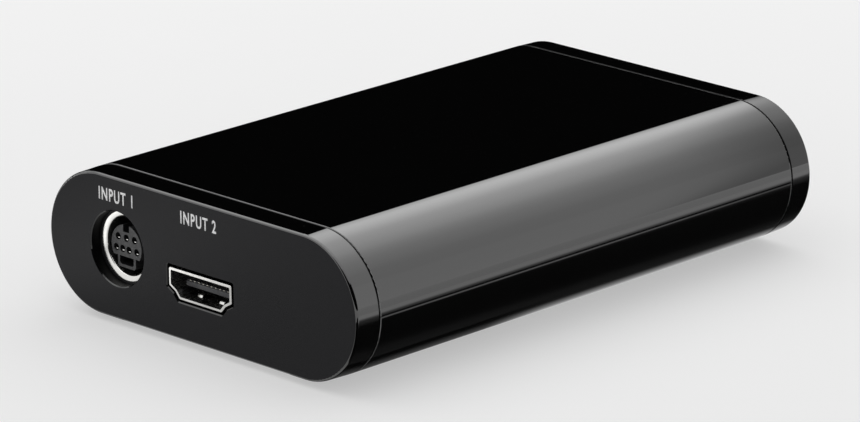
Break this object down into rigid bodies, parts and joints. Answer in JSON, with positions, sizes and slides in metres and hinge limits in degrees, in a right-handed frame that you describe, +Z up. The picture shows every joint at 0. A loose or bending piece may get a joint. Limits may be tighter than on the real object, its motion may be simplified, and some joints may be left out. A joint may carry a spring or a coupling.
{
  "type": "video capture box",
  "caption": "Flat black desktop box with half-round sides that takes in digital or analog video through sockets in one end and passes it on through the other.",
  "frame": {"origin": "centre of the footprint, on the surface that the feet stand on", "axes": "+Z up; +Y along the length, from the input end (-Y) to the output end; +X across, to the right for someone facing the input end"},
  "size_m": [0.074, 0.11, 0.026],
  "materials": {
    "gloss_case": "high gloss black",
    "cap_plastic": "fine textured black face with a polished rim",
    "foot_rubber": "matt black",
    "screw_steel": "zinc plated",
    "circuit_board": "solder mask over glass laminate",
    "plated_metal": "bright nickel plate",
    "contact_gold": "thin gold plate",
    "socket_plastic": "moulded dark grey",
    "chip_epoxy": "moulded epoxy",
    "crystal_metal": "bright can",
    "ferrite": "pressed ferrite",
    "capacitor_metal": "drawn can",
    "capacitor_ceramic": "fired ceramic",
    "resistor_ceramic": "glazed ceramic"
  },
  "bodies": {
    "box": {"analog_decoder_chip": "chip_epoxy", "av_socket_contacts": "contact_gold", "av_socket_core": "socket_plastic", "av_socket_housing": "socket_plastic", "av_socket_shield": "plated_metal", "can_capacitor_1": "capacitor_metal", "can_capacitor_2": "capacitor_metal", "can_capacitor_3": "capacitor_metal", "case_screws": "screw_steel", "ceramic_capacitors": "capacitor_ceramic", "chip_resistors": "resistor_ceramic", "clock_crystal_1": "crystal_metal", "clock_crystal_2": "crystal_metal", "clock_crystal_3": "crystal_metal", "data_bridge_chip": "chip_epoxy", "data_socket_contacts": "contact_gold", "data_socket_insulator": "socket_plastic", "data_socket_shell": "plated_metal", "encoder_chip": "chip_epoxy", "flash_chip": "chip_epoxy", "foot_front_left": "foot_rubber", "foot_front_right": "foot_rubber", "foot_rear_left": "foot_rubber", "foot_rear_right": "foot_rubber", "front_end_cap": "cap_plastic", "lower_shell": "gloss_case", "main_board": "circuit_board", "memory_chip_1": "chip_epoxy", "memory_chip_2": "chip_epoxy", "power_inductor_1": "ferrite", "power_inductor_2": "ferrite", "power_inductor_3": "ferrite", "power_regulator_1": "chip_epoxy", "power_regulator_2": "chip_epoxy", "power_regulator_3": "chip_epoxy", "rear_end_cap": "cap_plastic", "upper_shell": "gloss_case", "video_in_contacts": "contact_gold", "video_in_insulator": "socket_plastic", "video_in_shell": "plated_metal", "video_out_contacts": "contact_gold", "video_out_insulator": "socket_plastic", "video_out_shell": "plated_metal", "video_receiver_chip": "chip_epoxy", "video_transmitter_chip": "chip_epoxy"},
    "data_socket_finger_upper_left": {"data_socket_finger_upper_left": "plated_metal"},
    "data_socket_finger_upper_right": {"data_socket_finger_upper_right": "plated_metal"},
    "video_in_finger_lower_left": {"video_in_finger_lower_left": "plated_metal"},
    "video_in_finger_lower_right": {"video_in_finger_lower_right": "plated_metal"},
    "video_in_finger_upper_left": {"video_in_finger_upper_left": "plated_metal"},
    "video_in_finger_upper_right": {"video_in_finger_upper_right": "plated_metal"},
    "video_out_finger_lower_left": {"video_out_finger_lower_left": "plated_metal"},
    "video_out_finger_lower_right": {"video_out_finger_lower_right": "plated_metal"},
    "video_out_finger_upper_left": {"video_out_finger_upper_left": "plated_metal"},
    "video_out_finger_upper_right": {"video_out_finger_upper_right": "plated_metal"}
  },
  "joints": [
    {"name": "data_socket_finger_upper_left_flex", "type": "hinge", "parent": "box", "child": "data_socket_finger_upper_left", "pos_m": [0.02218, 0.0539, 0.01082], "axis": [-1, 0, 0], "range_deg": [0, 10], "stiffness_Nm_per_rad": 0.02},
    {"name": "data_socket_finger_upper_right_flex", "type": "hinge", "parent": "box", "child": "data_socket_finger_upper_right", "pos_m": [0.01778, 0.0539, 0.01082], "axis": [-1, 0, 0], "range_deg": [0, 10], "stiffness_Nm_per_rad": 0.02},
    {"name": "video_in_finger_lower_left_flex", "type": "hinge", "parent": "box", "child": "video_in_finger_lower_left", "pos_m": [-0.0026, -0.0539, 0.0083], "axis": [-1, 0, 0], "range_deg": [0, 10], "stiffness_Nm_per_rad": 0.02},
    {"name": "video_in_finger_lower_right_flex", "type": "hinge", "parent": "box", "child": "video_in_finger_lower_right", "pos_m": [0.0026, -0.0539, 0.0083], "axis": [-1, 0, 0], "range_deg": [0, 10], "stiffness_Nm_per_rad": 0.02},
    {"name": "video_in_finger_upper_left_flex", "type": "hinge", "parent": "box", "child": "video_in_finger_upper_left", "pos_m": [-0.0026, -0.0539, 0.0131], "axis": [1, 0, 0], "range_deg": [0, 10], "stiffness_Nm_per_rad": 0.02},
    {"name": "video_in_finger_upper_right_flex", "type": "hinge", "parent": "box", "child": "video_in_finger_upper_right", "pos_m": [0.0026, -0.0539, 0.0131], "axis": [1, 0, 0], "range_deg": [0, 10], "stiffness_Nm_per_rad": 0.02},
    {"name": "video_out_finger_lower_left_flex", "type": "hinge", "parent": "box", "child": "video_out_finger_lower_left", "pos_m": [0.0026, 0.0539, 0.0083], "axis": [1, 0, 0], "range_deg": [0, 10], "stiffness_Nm_per_rad": 0.02},
    {"name": "video_out_finger_lower_right_flex", "type": "hinge", "parent": "box", "child": "video_out_finger_lower_right", "pos_m": [-0.0026, 0.0539, 0.0083], "axis": [1, 0, 0], "range_deg": [0, 10], "stiffness_Nm_per_rad": 0.02},
    {"name": "video_out_finger_upper_left_flex", "type": "hinge", "parent": "box", "child": "video_out_finger_upper_left", "pos_m": [0.0026, 0.0539, 0.0131], "axis": [-1, 0, 0], "range_deg": [0, 10], "stiffness_Nm_per_rad": 0.02},
    {"name": "video_out_finger_upper_right_flex", "type": "hinge", "parent": "box", "child": "video_out_finger_upper_right", "pos_m": [-0.0026, 0.0539, 0.0131], "axis": [-1, 0, 0], "range_deg": [0, 10], "stiffness_Nm_per_rad": 0.02}
  ]
}
